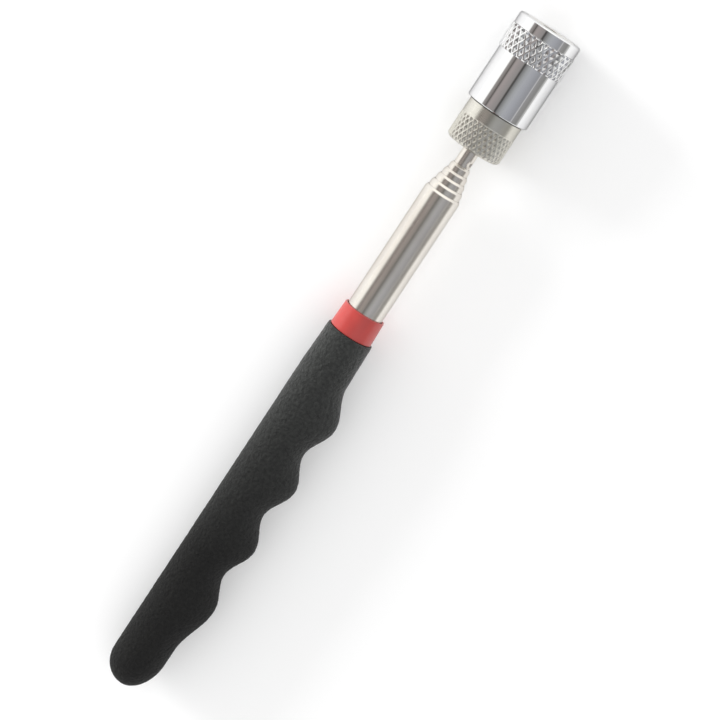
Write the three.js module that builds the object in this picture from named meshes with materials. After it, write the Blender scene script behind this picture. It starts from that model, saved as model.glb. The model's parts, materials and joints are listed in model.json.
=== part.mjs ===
// Telescoping magnetic pickup tool with a lighted, screw-on magnet head, lying on its flank.
// Millimetres, +Z up. The axis runs along +X from the closed end of the grip to the magnet, the finger ridges
// of the grip point to -Y and the palm side to +Y. The origin is under the middle of the whole tool.
// A station is a distance along the axis from the closed end of the grip.
// Outlines are lists of [station, radius].

import * as THREE from 'three';

// ---------------------------------------------------------------- driving dimensions

const TOOL_LENGTH = 201;
const ROUND_SEGMENTS = 24; // facets of every piece turned about the axis
const FACET_FLAT = Math.cos(Math.PI / ROUND_SEGMENTS); // a facet's distance from the axis, for a radius of 1
const CURVE_SEGMENTS = 20; // steps of each arc in an extruded outline
const TOUCH_GAP = 0.3; // left between faces that rest on each other

// foam grip
const GRIP_TOP = 110.5;
const PALM_REACH = 6.8;
const FLANK_REACH = 6.55;
const GRIP_TOP_REACH = 6.45;
const GROOVE_REACH = 7.1;
const RIDGE_REACHES = [10.2, 10.4, 10.6, 10.4]; // from the closed end upwards
const FIRST_RIDGE = 29.9;
const RIDGE_PITCH = 19.1;
const LOWEST_FLANK_START = 15; // where the slope up to the first ridge begins
const LAST_RIDGE_END = 98.5; // where the last ridge has run out
const PALM_DOME = 7.5; // axial length of the rounded end, on each side
const FLANK_DOME = 8.5;
const FINGER_DOME = 10.5;
const DOME_STEPS = 6;
const SPAN_STEPS = 5; // rings from a ridge to the next groove
const GRIP_BORE_START = 7.7;
const GRIP_BORE = 5.2;
const GRIP_COUNTERBORE = 5.6; // holds the collar's sleeve

// red collar
const COLLAR_TOP = 117.2;
const COLLAR_SLEEVE_START = 98;
const COLLAR_BORE = 5.15;
const COLLAR_SLEEVE_RADIUS = 5.45;
const COLLAR_BASE_RADIUS = 5.9;
const COLLAR_TIP_RADIUS = 5.65;
const COLLAR_CHAMFER = 0.2;

// telescoping tubes, counted from 1, the outer tube, to 6, the rod
const OUTER_TUBE_RADIUS = 4.95;
const RADIUS_STEP = 0.55;
const WALL = 0.3;
const OUTER_TUBE_START = 9;
const OUTER_TUBE_LIP = 153.25;
const LIP_STEP = 2; // how far each section stands out of the one around it
const LIP_CLEARANCE = 0.08;
const LIP_BEVEL = 0.66; // axial length of the rolled lip's slope
const LIP_BEVEL_DEPTH = 0.4;
const LIP_GUIDE = 1; // length of the bore that guides the next section
const LIP_DEPTH = 1.3;
const SECTION_2_START = 13.35;
const START_STEP = 9.5; // each section's foot stands this far above the foot of the one around it
const NECK_LENGTH = 8;
const NECK_SINK = 0.3; // how much narrower the foot is, for the friction clip
const NECK_FLARE = 0.6; // axial length of the slope from the foot to the full width
const FLARE_BORE_START = 0.2; // the same slope inside, above the foot's shoulder
const FLARE_BORE_END = 0.9;
const CLIP_START = 0.9; // above the foot
const CLIP_LENGTH = 6.7;
const CLIP_INNER_SINK = 0.17;
const CLIP_OUTER_RISE = 0.14;
const CLIP_SLOT = THREE.MathUtils.degToRad(40);
const ROD_NUMBER = 6;
const ROD_END = 167.5;

// end plug
const PLUG_FLANGE_RADIUS = 4.9;
const PLUG_FLANGE_THICKNESS = 0.7;
const PLUG_LENGTH = 3; // inside the tube

// tail nut and what joins it to the rod
const NUT_START = 165.95;
const NUT_KNURL_END = 172.9;
const NUT_SHOULDER = 176.85;
const NUT_KNURL_RADIUS = 7.5;
const NUT_NOSE = [[0, 0.8], [0.5, 0.2], [1, 0]]; // its rounded lower edge: distance up, radius taken off
const NUT_BAND_RADIUS = 7.45;
const NUT_GROOVE_DEPTH = 0.2; // between the knurl and the plain band
const NUT_GROOVE_RISE = 0.3;
const NUT_CHAMFER = 0.25;
const NUT_FLOOR_TOP = 168.6;
const NUT_CAVITY = 6.3;
const ROD_SOCKET = 2.5;
const SPIGOT_RADIUS = 7.15;
const SPIGOT_END = 183;
const SPIGOT_CHAMFER = 0.25;
const SEAL_STATION = 178;
const SEAL_WIRE = 0.33;
const SEAL_SIDES = 10;
const SEAL_GROOVE_DEPTH = 0.45;
const SEAL_GROOVE_FLOOR = 0.5; // half of the groove's width at its floor
const SEAL_GROOVE_MOUTH = 0.7;
const STUD_START = 158;
const STUD_RADIUS = 1.65;
const STUD_HEAD_RADIUS = 3.2;
const STUD_HEAD_DEPTH = 0.9;
const CRIMP_STATION = 162.5;
const CRIMP_DEPTH = 0.4;
const CRIMP_FLOOR = 0.6; // half of the stud groove's width at its floor
const CRIMP_MOUTH = 0.9;
const SPRING_WIRE = 0.25;
const SPRING_TURNS = 3.5;
const SPRING_STEPS = 42;
const SPRING_WIRE_SEGMENTS = 3;
const SPRING_WIDE = 5.2;
const SPRING_NARROW = 2.2;

// LR44 button cells in an insulating sleeve
const CELL_RADIUS = 5.8;
const CELL_HEIGHT = 5.4;
const CELL_GAP = 0.2;
const CELL_COUNT = 3;
const CELL_CAP_RADIUS = 4.8;
const CELL_CAP_HEIGHT = 0.4;
const CELL_CAP_SLOPE = 0.15;
const CELL_ROLL = [[0.5, 0.2], [0.8, 0]]; // the can's lower edge: distance up, and radius taken off
const CELL_CHAMFER = 0.25;
const CELLS_TOP = 188.3;
const SLEEVE_INNER = 5.95;
const SLEEVE_OUTER = 6.15;
const SLEEVE_SHIFT = 0.2; // how far the sleeve stands above the stack

// head
const HEAD_START = 177.15;
const HEAD_RADIUS = 8.5;
const HEAD_CHAMFER = 0.3;
const HEAD_KNURL_START = 191.3;
const HEAD_KNURL_END = 197.8;
const HEAD_KNURL_RADIUS = 8.975;
const KNURL_STEP_DOWN = 0.1; // the shell's body ends this far below the knurl
const RIM_RADIUS = 8.7;
const RIM_CHAMFER = 0.35;
const SEAL_POCKET = 7.75;
const SEAL_POCKET_END = 178.8;
const THREAD_BORE = 7.35;
const THREAD_BORE_START = 179;
const THREAD_BORE_END = 184;
const CELL_CHAMBER = 6.35;
const FRONT_BORE = 7.1;
const FRONT_BORE_START = 191.5;
const MAGNET_RADIUS = 6.8;
const MAGNET_HOLE = 3.1;
const MAGNET_LENGTH = 4.4;
const POLE_WASHER_DEPTH = 0.7;
const HOLDER_START = 191.8;
const HOLDER_END = 195.3;
const HOLDER_RADIUS = 6.85;
const LAMP_START = 192.3;
const LAMP_SEGMENTS = 16;
const LAMP_DOME_STEPS = 4;
const LAMP_RADIUS = 2.5;
const LAMP_FLANGE_RADIUS = 2.9;
const LAMP_FLANGE_THICKNESS = 1;
const LAMP_TIP = 200.6;
const LEG_RADIUS = 0.25;
const LEG_SEGMENTS = 8;
const LEG_OFFSET = 1.27; // half of the usual 2.54 mm pitch of the legs
const LEG_END = 189.1;
const BOARD_START = 189.5;
const BOARD_THICKNESS = 1;
const BOARD_RADIUS = 5.9;
const CONTACT_RADIUS = 0.8;
const CONTACT_SEGMENTS = 12;

// ---------------------------------------------------------------- finishes

function metal(colour, roughness) {
  return new THREE.MeshStandardMaterial({ color: colour, roughness, metalness: 1 });
}

function dielectric(colour, roughness) {
  return new THREE.MeshStandardMaterial({ color: colour, roughness, metalness: 0 });
}

// ---------------------------------------------------------------- shapes

// Turns an outline about the axis. It starts and ends on the axis, or its last point closes it.
function turned(outline, segments = ROUND_SEGMENTS) {
  const points = outline.map(([station, radius]) => new THREE.Vector2(radius, station));
  if (THREE.ShapeUtils.area(points) < 0) {
    points.reverse();
  }
  const geometry = new THREE.LatheGeometry(points, segments, Math.PI / segments);
  geometry.rotateZ(-Math.PI / 2);
  return geometry;
}

// The same for an outline that goes round a bore.
function turnedRing(outline, segments = ROUND_SEGMENTS) {
  return turned([...outline, outline[0]], segments);
}

// A solid rod and a plain ring between two stations.
function disc(start, end, radius, segments = ROUND_SEGMENTS) {
  return turned([[start, 0], [start, radius], [end, radius], [end, 0]], segments);
}

function washer(start, end, innerRadius, outerRadius) {
  return turnedRing([[start, innerRadius], [start, outerRadius], [end, outerRadius], [end, innerRadius]]);
}

// Pushes a flat shape along the axis, from one station on.
function extrudedAlongAxis(shape, start, length) {
  const settings = { depth: length, bevelEnabled: false, curveSegments: CURVE_SEGMENTS };
  const geometry = new THREE.ExtrudeGeometry(shape, settings);
  geometry.rotateY(Math.PI / 2);
  geometry.translate(start, 0, 0);
  return geometry;
}

// ---------------------------------------------------------------- assembly

const pickupTool = new THREE.Group();
const tallestReach = Math.max(...RIDGE_REACHES);
pickupTool.position.set(
  -TOOL_LENGTH / 2,
  ((tallestReach - HEAD_KNURL_RADIUS) / 2) * FACET_FLAT,
  HEAD_KNURL_RADIUS * FACET_FLAT,
);

function add(name, geometry, material) {
  const mesh = new THREE.Mesh(geometry, material);
  mesh.name = name;
  pickupTool.add(mesh);
  return mesh;
}

// ---------------------------------------------------------------- foam grip

// How far the rounded end has opened at a station, from 0 at the tip to 1 where its dome ends.
function domeOpening(station, domeLength) {
  const left = Math.max(0, 1 - station / domeLength);
  return Math.sqrt(1 - left * left);
}

// The palm side and the flanks run straight, then narrow a little over the last stretch.
function straightReach(station, reach, domeLength) {
  const fade = THREE.MathUtils.clamp((station - LAST_RIDGE_END) / (GRIP_TOP - LAST_RIDGE_END), 0, 1);
  return THREE.MathUtils.lerp(reach, GRIP_TOP_REACH, fade) * domeOpening(station, domeLength);
}

// Ridges and grooves of the finger side: [station, reach], joined by half waves.
function fingerKnots() {
  const knots = [[LOWEST_FLANK_START, GROOVE_REACH]];
  RIDGE_REACHES.forEach((reach, index) => {
    const peak = FIRST_RIDGE + index * RIDGE_PITCH;
    knots.push([peak, reach]);
    if (index < RIDGE_REACHES.length - 1) {
      knots.push([peak + RIDGE_PITCH / 2, GROOVE_REACH]);
    }
  });
  knots.push([LAST_RIDGE_END, PALM_REACH]);
  return knots;
}

function fingerReach(station, knots) {
  if (station >= LAST_RIDGE_END) {
    return straightReach(station, PALM_REACH, PALM_DOME);
  }
  const next = knots.findIndex((knot) => knot[0] >= station);
  if (next <= 0) {
    return GROOVE_REACH * domeOpening(station, FINGER_DOME);
  }
  const [startStation, startReach] = knots[next - 1];
  const [endStation, endReach] = knots[next];
  const wave = (1 - Math.cos((Math.PI * (station - startStation)) / (endStation - startStation))) / 2;
  return THREE.MathUtils.lerp(startReach, endReach, wave);
}

function gripStations(knots) {
  const stations = [];
  for (let step = 1; step <= DOME_STEPS; step += 1) {
    stations.push(FINGER_DOME * (1 - Math.cos((Math.PI * step) / (2 * DOME_STEPS))));
  }
  for (let index = 1; index < knots.length; index += 1) {
    for (let step = 0; step < SPAN_STEPS; step += 1) {
      stations.push(THREE.MathUtils.lerp(knots[index - 1][0], knots[index][0], step / SPAN_STEPS));
    }
  }
  stations.push(LAST_RIDGE_END, GRIP_TOP);
  return stations;
}

// The outside is turned as a plain cylinder, then each ring is stretched to its palm, finger and flank reach.
function gripGeometry() {
  const knots = fingerKnots();
  const outside = gripStations(knots).map((station) => [station, PALM_REACH]);
  const counterboreStart = COLLAR_SLEEVE_START - TOUCH_GAP;
  const inside = [
    [GRIP_TOP, GRIP_COUNTERBORE],
    [counterboreStart, GRIP_COUNTERBORE],
    [counterboreStart, GRIP_BORE],
    [GRIP_BORE_START, GRIP_BORE],
    [GRIP_BORE_START, 0],
  ];
  const outline = [[0, 0], ...outside, ...inside];
  const geometry = turned(outline);
  const position = geometry.attributes.position;
  for (let index = 0; index < position.count; index += 1) {
    const ring = index % outline.length;
    if (ring > 0 && ring <= outside.length) {
      const station = position.getX(index);
      const side = position.getY(index);
      const sideReach = side > 0
        ? straightReach(station, PALM_REACH, PALM_DOME)
        : fingerReach(station, knots);
      const flankReach = straightReach(station, FLANK_REACH, FLANK_DOME);
      position.setY(index, (side * sideReach) / PALM_REACH);
      position.setZ(index, (position.getZ(index) * flankReach) / PALM_REACH);
    }
  }
  return geometry;
}

add('foam_grip', gripGeometry(), dielectric(0x1d1f1f, 0.95));

// ---------------------------------------------------------------- red collar

const collarBase = GRIP_TOP + TOUCH_GAP;
add(
  'red_collar',
  turnedRing([
    [COLLAR_SLEEVE_START, COLLAR_BORE],
    [COLLAR_SLEEVE_START, COLLAR_SLEEVE_RADIUS],
    [collarBase, COLLAR_SLEEVE_RADIUS],
    [collarBase, COLLAR_BASE_RADIUS],
    [COLLAR_TOP - COLLAR_CHAMFER, COLLAR_TIP_RADIUS],
    [COLLAR_TOP, COLLAR_TIP_RADIUS - COLLAR_CHAMFER],
    [COLLAR_TOP, COLLAR_BORE],
  ]),
  dielectric(0xd1202a, 0.35),
);

// ---------------------------------------------------------------- telescoping tubes

const tubeFinish = metal(0xd9d6cf, 0.16);

function tubeRadius(number) {
  return OUTER_TUBE_RADIUS - (number - 1) * RADIUS_STEP;
}

function tubeLip(number) {
  return OUTER_TUBE_LIP + (number - 1) * LIP_STEP;
}

function sectionStart(number) {
  return SECTION_2_START + (number - 2) * START_STEP;
}

// The rolled lip: bevelled outside, and closed in to guide the next section.
function lipOutline(radius, lip) {
  const opening = radius - RADIUS_STEP + LIP_CLEARANCE;
  return [
    [lip - LIP_BEVEL, radius],
    [lip, radius - LIP_BEVEL_DEPTH],
    [lip, opening],
    [lip - LIP_GUIDE, opening],
    [lip - LIP_DEPTH, radius - WALL],
  ];
}

// The foot is drawn in below a short shoulder, and carries the friction clip.
function footOutlines(radius, start) {
  const shoulder = start + NECK_LENGTH;
  const outside = [
    [start, radius - NECK_SINK - WALL],
    [start, radius - NECK_SINK],
    [shoulder, radius - NECK_SINK],
    [shoulder + NECK_FLARE, radius],
  ];
  const inside = [
    [shoulder + FLARE_BORE_END, radius - WALL],
    [shoulder + FLARE_BORE_START, radius - NECK_SINK - WALL],
  ];
  return { outside, inside };
}

function clipGeometry(number) {
  const radius = tubeRadius(number);
  const shape = new THREE.Shape();
  const from = CLIP_SLOT / 2;
  const to = 2 * Math.PI - CLIP_SLOT / 2;
  shape.absarc(0, 0, radius + CLIP_OUTER_RISE, from, to, false);
  shape.absarc(0, 0, radius - CLIP_INNER_SINK, to, from, true);
  return extrudedAlongAxis(shape, sectionStart(number) + CLIP_START, CLIP_LENGTH);
}

add(
  'outer_tube',
  turnedRing([
    [OUTER_TUBE_START, OUTER_TUBE_RADIUS - WALL],
    [OUTER_TUBE_START, OUTER_TUBE_RADIUS],
    ...lipOutline(OUTER_TUBE_RADIUS, OUTER_TUBE_LIP),
  ]),
  tubeFinish,
);

const plugFlangeTop = OUTER_TUBE_START - TOUCH_GAP;
const plugRadius = OUTER_TUBE_RADIUS - WALL - TOUCH_GAP;
add(
  'end_plug',
  turned([
    [plugFlangeTop - PLUG_FLANGE_THICKNESS, 0],
    [plugFlangeTop - PLUG_FLANGE_THICKNESS, PLUG_FLANGE_RADIUS],
    [plugFlangeTop, PLUG_FLANGE_RADIUS],
    [plugFlangeTop, plugRadius],
    [plugFlangeTop + PLUG_LENGTH, plugRadius],
    [plugFlangeTop + PLUG_LENGTH, 0],
  ]),
  dielectric(0x2b2b2b, 0.6),
);

for (let number = 2; number < ROD_NUMBER; number += 1) {
  const radius = tubeRadius(number);
  const foot = footOutlines(radius, sectionStart(number));
  add(
    `tube_section_${number}`,
    turnedRing([...foot.outside, ...lipOutline(radius, tubeLip(number)), ...foot.inside]),
    tubeFinish,
  );
}

const rodRadius = tubeRadius(ROD_NUMBER);
const rodFoot = footOutlines(rodRadius, sectionStart(ROD_NUMBER));
add(
  'rod_tube',
  turnedRing([
    ...rodFoot.outside,
    [ROD_END, rodRadius],
    [ROD_END, rodRadius - WALL],
    ...rodFoot.inside,
  ]),
  tubeFinish,
);

for (let number = 2; number <= ROD_NUMBER; number += 1) {
  add(`friction_clip_${number}`, clipGeometry(number), metal(0xb08d4f, 0.4));
}

// ---------------------------------------------------------------- tail nut, stud, seal and spring

add(
  'tail_nut',
  turnedRing([
    [NUT_START, ROD_SOCKET],
    ...NUT_NOSE.map(([rise, inset]) => [NUT_START + rise, NUT_KNURL_RADIUS - inset]),
    [NUT_KNURL_END - NUT_GROOVE_DEPTH, NUT_KNURL_RADIUS],
    [NUT_KNURL_END, NUT_BAND_RADIUS - NUT_GROOVE_DEPTH],
    [NUT_KNURL_END + NUT_GROOVE_RISE, NUT_BAND_RADIUS],
    [NUT_SHOULDER - NUT_CHAMFER, NUT_BAND_RADIUS],
    [NUT_SHOULDER, NUT_BAND_RADIUS - NUT_CHAMFER],
    [NUT_SHOULDER, SPIGOT_RADIUS],
    [SEAL_STATION - SEAL_GROOVE_MOUTH, SPIGOT_RADIUS],
    [SEAL_STATION - SEAL_GROOVE_FLOOR, SPIGOT_RADIUS - SEAL_GROOVE_DEPTH],
    [SEAL_STATION + SEAL_GROOVE_FLOOR, SPIGOT_RADIUS - SEAL_GROOVE_DEPTH],
    [SEAL_STATION + SEAL_GROOVE_MOUTH, SPIGOT_RADIUS],
    [SPIGOT_END - SPIGOT_CHAMFER, SPIGOT_RADIUS],
    [SPIGOT_END, SPIGOT_RADIUS - SPIGOT_CHAMFER],
    [SPIGOT_END, NUT_CAVITY],
    [NUT_FLOOR_TOP, NUT_CAVITY],
    [NUT_FLOOR_TOP, STUD_RADIUS + TOUCH_GAP],
    [ROD_END + TOUCH_GAP, STUD_RADIUS + TOUCH_GAP],
    [ROD_END + TOUCH_GAP, ROD_SOCKET],
  ]),
  metal(0xb9b2a6, 0.3),
);

const studHeadStart = NUT_FLOOR_TOP + TOUCH_GAP;
add(
  'neck_stud',
  turned([
    [STUD_START, 0],
    [STUD_START, STUD_RADIUS],
    [CRIMP_STATION - CRIMP_MOUTH, STUD_RADIUS],
    [CRIMP_STATION - CRIMP_FLOOR, STUD_RADIUS - CRIMP_DEPTH],
    [CRIMP_STATION + CRIMP_FLOOR, STUD_RADIUS - CRIMP_DEPTH],
    [CRIMP_STATION + CRIMP_MOUTH, STUD_RADIUS],
    [studHeadStart, STUD_RADIUS],
    [studHeadStart, STUD_HEAD_RADIUS],
    [studHeadStart + STUD_HEAD_DEPTH, STUD_HEAD_RADIUS],
    [studHeadStart + STUD_HEAD_DEPTH, 0],
  ]),
  metal(0xa8a8a8, 0.35),
);

const sealOutline = [];
for (let side = 0; side < SEAL_SIDES; side += 1) {
  const angle = (2 * Math.PI * side) / SEAL_SIDES;
  sealOutline.push([SEAL_STATION + SEAL_WIRE * Math.sin(angle), SPIGOT_RADIUS + SEAL_WIRE * Math.cos(angle)]);
}
add('seal_ring', turnedRing(sealOutline), dielectric(0x151515, 0.7));

// A coil that narrows towards the cells.
class ConicalCoil extends THREE.Curve {
  constructor(start, end) {
    super();
    this.start = start;
    this.end = end;
  }

  getPoint(t, target = new THREE.Vector3()) {
    const angle = 2 * Math.PI * SPRING_TURNS * t;
    const radius = THREE.MathUtils.lerp(SPRING_WIDE, SPRING_NARROW, t);
    const station = THREE.MathUtils.lerp(this.start, this.end, t);
    return target.set(station, radius * Math.cos(angle), radius * Math.sin(angle));
  }
}

const cellPitch = CELL_HEIGHT + CELL_GAP;
const cellsBottom = CELLS_TOP - CELL_COUNT * cellPitch + CELL_GAP;
const springMargin = TOUCH_GAP + SPRING_WIRE;
const wireSection = new THREE.Shape();
wireSection.absarc(0, 0, SPRING_WIRE, 0, 2 * Math.PI, false);
add(
  'contact_spring',
  new THREE.ExtrudeGeometry(wireSection, {
    extrudePath: new ConicalCoil(NUT_FLOOR_TOP + springMargin, cellsBottom - springMargin),
    steps: SPRING_STEPS,
    curveSegments: SPRING_WIRE_SEGMENTS,
  }),
  metal(0xc2b280, 0.35),
);

// ---------------------------------------------------------------- button cells and sleeve

for (let number = 1; number <= CELL_COUNT; number += 1) {
  const bottom = cellsBottom + (number - 1) * cellPitch;
  const top = bottom + CELL_HEIGHT;
  add(
    `button_cell_${number}`,
    turned([
      [bottom, 0],
      [bottom, CELL_CAP_RADIUS],
      [bottom + CELL_CAP_HEIGHT, CELL_CAP_RADIUS + CELL_CAP_SLOPE],
      ...CELL_ROLL.map(([rise, inset]) => [bottom + rise, CELL_RADIUS - inset]),
      [top - CELL_CHAMFER, CELL_RADIUS],
      [top, CELL_RADIUS - CELL_CHAMFER],
      [top, 0],
    ]),
    metal(0xcfcfcf, 0.25),
  );
}

add(
  'battery_sleeve',
  washer(cellsBottom + SLEEVE_SHIFT, CELLS_TOP + SLEEVE_SHIFT, SLEEVE_INNER, SLEEVE_OUTER),
  dielectric(0xe8e4d8, 0.6),
);

// ---------------------------------------------------------------- head

add(
  'head_shell',
  turnedRing([
    [HEAD_START, SEAL_POCKET],
    [HEAD_START, HEAD_RADIUS - HEAD_CHAMFER],
    [HEAD_START + HEAD_CHAMFER, HEAD_RADIUS],
    [HEAD_KNURL_START - KNURL_STEP_DOWN, HEAD_RADIUS],
    [HEAD_KNURL_START + HEAD_CHAMFER, HEAD_KNURL_RADIUS],
    [HEAD_KNURL_END - HEAD_CHAMFER, HEAD_KNURL_RADIUS],
    [HEAD_KNURL_END, RIM_RADIUS],
    [TOOL_LENGTH - RIM_CHAMFER, RIM_RADIUS],
    [TOOL_LENGTH, RIM_RADIUS - RIM_CHAMFER],
    [TOOL_LENGTH, FRONT_BORE],
    [FRONT_BORE_START, FRONT_BORE],
    [FRONT_BORE_START, CELL_CHAMBER],
    [THREAD_BORE_END, CELL_CHAMBER],
    [THREAD_BORE_END, THREAD_BORE],
    [THREAD_BORE_START, THREAD_BORE],
    [SEAL_POCKET_END, SEAL_POCKET],
  ]),
  metal(0xe3e5ea, 0.08),
);

const magnetStart = TOOL_LENGTH - MAGNET_LENGTH;
add('ring_magnet', washer(magnetStart, TOOL_LENGTH, MAGNET_HOLE, MAGNET_RADIUS), metal(0xc9c9c9, 0.25));

const poleWasherEnd = magnetStart - TOUCH_GAP;
add(
  'magnet_pole_washer',
  washer(poleWasherEnd - POLE_WASHER_DEPTH, poleWasherEnd, LAMP_FLANGE_RADIUS + TOUCH_GAP, MAGNET_RADIUS),
  metal(0x9a9a9a, 0.4),
);

add(
  'led_holder',
  washer(HOLDER_START, HOLDER_END, LAMP_FLANGE_RADIUS + TOUCH_GAP, HOLDER_RADIUS),
  dielectric(0xf2f2f0, 0.5),
);

const lampDome = [];
for (let step = 0; step <= LAMP_DOME_STEPS; step += 1) {
  const angle = (Math.PI * step) / (2 * LAMP_DOME_STEPS);
  lampDome.push([LAMP_TIP - LAMP_RADIUS * (1 - Math.sin(angle)), LAMP_RADIUS * Math.cos(angle)]);
}
lampDome[LAMP_DOME_STEPS][1] = 0;
add(
  'led_lamp',
  turned([
    [LAMP_START, 0],
    [LAMP_START, LAMP_FLANGE_RADIUS],
    [LAMP_START + LAMP_FLANGE_THICKNESS, LAMP_FLANGE_RADIUS],
    [LAMP_START + LAMP_FLANGE_THICKNESS, LAMP_RADIUS],
    ...lampDome,
  ], LAMP_SEGMENTS),
  dielectric(0xf4f6ff, 0.08),
);

const legLength = LAMP_START - TOUCH_GAP - LEG_END;
const legSides = [['led_leg_positive', LEG_OFFSET], ['led_leg_negative', -LEG_OFFSET]];
for (const [name, side] of legSides) {
  const shape = new THREE.CylinderGeometry(LEG_RADIUS, LEG_RADIUS, legLength, LEG_SEGMENTS);
  const leg = add(name, shape, metal(0xc8c8c8, 0.3));
  leg.rotation.z = -Math.PI / 2;
  leg.position.set(LEG_END + legLength / 2, side, 0);
}

const boardShape = new THREE.Shape();
boardShape.absarc(0, 0, BOARD_RADIUS, 0, 2 * Math.PI, false);
for (const side of [LEG_OFFSET, -LEG_OFFSET]) {
  const hole = new THREE.Path();
  hole.absarc(0, side, LEG_RADIUS + TOUCH_GAP, 0, 2 * Math.PI, true);
  boardShape.holes.push(hole);
}
add('led_board', extrudedAlongAxis(boardShape, BOARD_START, BOARD_THICKNESS), dielectric(0x2f7d4a, 0.5));

add(
  'board_contact',
  disc(CELLS_TOP + TOUCH_GAP, BOARD_START - TOUCH_GAP, CONTACT_RADIUS, CONTACT_SEGMENTS),
  metal(0xd8b765, 0.3),
);

export default pickupTool;
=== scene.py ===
"""Looks of the magnetic pickup tool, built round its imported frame.

The tool lies along X with the magnet at +X. A station is a place along X, and outlines are lists of
(station, radius) in millimetres. Every piece turned about the tool's axis comes from turned().
"""
import json
import math
from functools import partial

import bmesh
import bpy
import numpy as np
from mathutils import Matrix, Vector, noise


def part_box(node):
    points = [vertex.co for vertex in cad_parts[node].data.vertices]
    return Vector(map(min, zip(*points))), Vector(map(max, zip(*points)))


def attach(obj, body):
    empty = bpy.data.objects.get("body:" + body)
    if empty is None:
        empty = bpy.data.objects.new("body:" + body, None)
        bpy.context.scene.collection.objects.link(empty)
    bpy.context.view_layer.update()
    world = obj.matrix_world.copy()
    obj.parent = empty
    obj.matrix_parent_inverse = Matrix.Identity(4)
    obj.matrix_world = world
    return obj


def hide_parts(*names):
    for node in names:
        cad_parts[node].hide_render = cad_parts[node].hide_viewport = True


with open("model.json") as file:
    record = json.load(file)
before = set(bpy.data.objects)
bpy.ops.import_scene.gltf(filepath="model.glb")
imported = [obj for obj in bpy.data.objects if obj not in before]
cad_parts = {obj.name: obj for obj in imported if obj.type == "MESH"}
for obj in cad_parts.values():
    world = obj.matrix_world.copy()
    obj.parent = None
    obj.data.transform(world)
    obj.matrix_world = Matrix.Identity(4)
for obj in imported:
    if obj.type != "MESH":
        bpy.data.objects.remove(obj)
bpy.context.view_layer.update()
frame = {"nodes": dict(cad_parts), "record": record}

MM = 0.001

# ------------------------------------------------------------------ measures read from the frame

FACET_FLAT = math.cos(math.pi / 24)  # how far a 24-sided CAD solid's flats stand in from its corners


def span(node, true_radius=True):
    """First station, last station and radius of a turned CAD node, in millimetres."""
    low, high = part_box(node)
    radius = (high.z - low.z) / 2 / MM
    return low.x / MM, high.x / MM, radius / FACET_FLAT if true_radius else radius


head_low, head_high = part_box("head_shell")
AXIS_Y = (head_low.y + head_high.y) / 2
AXIS_Z = (head_low.z + head_high.z) / 2

GRIP_END, GRIP_TOP, _ = span("foam_grip")
TUBE_START, TUBE_LIP, TUBE_RADIUS = span("outer_tube")
HEAD_START, HEAD_END, HEAD_KNURL_RADIUS = span("head_shell", true_radius=False)
NUT_START, SPIGOT_END, NUT_RADIUS = span("tail_nut")
MAGNET_START, MAGNET_END, MAGNET_RADIUS = span("ring_magnet")
SEAL_START, SEAL_END, SEAL_RADIUS = span("seal_ring")
SEAL_MIDDLE = (SEAL_START + SEAL_END) / 2

# ------------------------------------------------------------------ measures of the looks, in millimetres

# foam grip
PALM_REACH = 6.8
FLANK_REACH = 6.55
GRIP_TOP_REACH = 6.45
GROOVE_REACH = 7.1
RIDGE_REACHES = (10.1, 10.3, 10.5, 10.3)
RIDGE_PITCH = 19.1
FIRST_RIDGE = 29.9  # from the closed end of the grip, as the next two
RIDGES_START = 15
RIDGES_END = 98.5
PALM_DOME = 7.5  # length of the rounded end on each side
FLANK_DOME = 8.5
FINGER_DOME = 10.5
GRIP_BORE = 5.2
COLLAR_POCKET = 5.6  # the wider bore that takes the collar's sleeve
GRIP_EDGE = 0.25  # rounding of the open end
WORN_LENGTH = 0.8  # of the skin at the open end
GRIP_COLUMNS = 192

# red collar
COLLAR_SLEEVE = 5.45
COLLAR_BORE = 5.08
COLLAR_TIP = 5.65

# tubes and clips
RADIUS_STEP = 0.55
WALL = 0.3
LIP_CLEARANCE = 0.08
NECK_LENGTH = 8
NECK_SINK = 0.3
CRIMP_STATION = NUT_START - 3.45
CRIMP_ANGLE = 142  # degrees about +X, from +Y towards +Z
CRIMP_REACH = 0.9
CRIMP_DEPTH = 0.42
CRIMP_MARGIN = 1.2  # the rod's mesh is fine this far either side of the crimp
CLIP_BULGE = 0.1
CLIP_INSET = 0.28  # from a clip's widest radius to its bore, which clears the foot that the clip sits on
CLIP_GAP = math.radians(40)

# nut and head
KNURL_STEPS = 12  # mesh steps to a lozenge, around and along
KNURL_LINE = 1 / 4  # width of the raised lines, as a share of their spacing
NUT_KNURL_DEPTH = 0.44
NUT_LOZENGES = 32  # round the nut
NUT_LOZENGE_LENGTH = 2.62
NUT_KNURL_LENGTH = 6.99
HEAD_KNURL_DEPTH = 0.54
HEAD_LOZENGES = 31
HEAD_LOZENGE_LENGTH = 3.09
HEAD_KNURL_START = HEAD_START + 14.15
HEAD_KNURL_LENGTH = 6.6
HEAD_RADIUS = 8.5
RIM_RADIUS = 8.7
NUT_CAVITY = 6.3
NUT_BORE = 2.3
STUD_HOLE = 1.95
SEAL_FLOOR = SEAL_RADIUS - 0.68  # of the groove that the seal ring lies in
SPIGOT_ROOT = 6.98
SPIGOT_CREST = 7.28
THREAD_PITCH = 0.75
THREAD_PLAY = 0.08
HEAD_POCKET = 7.75
CELL_CHAMBER = 6.35
FRONT_BORE = 7.1
LAMP_RADIUS = 2.5
LAMP_FLAT = math.cos(math.pi / 16)  # as FACET_FLAT, for the lamp's 16-sided solid

# ------------------------------------------------------------------ camera

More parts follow.
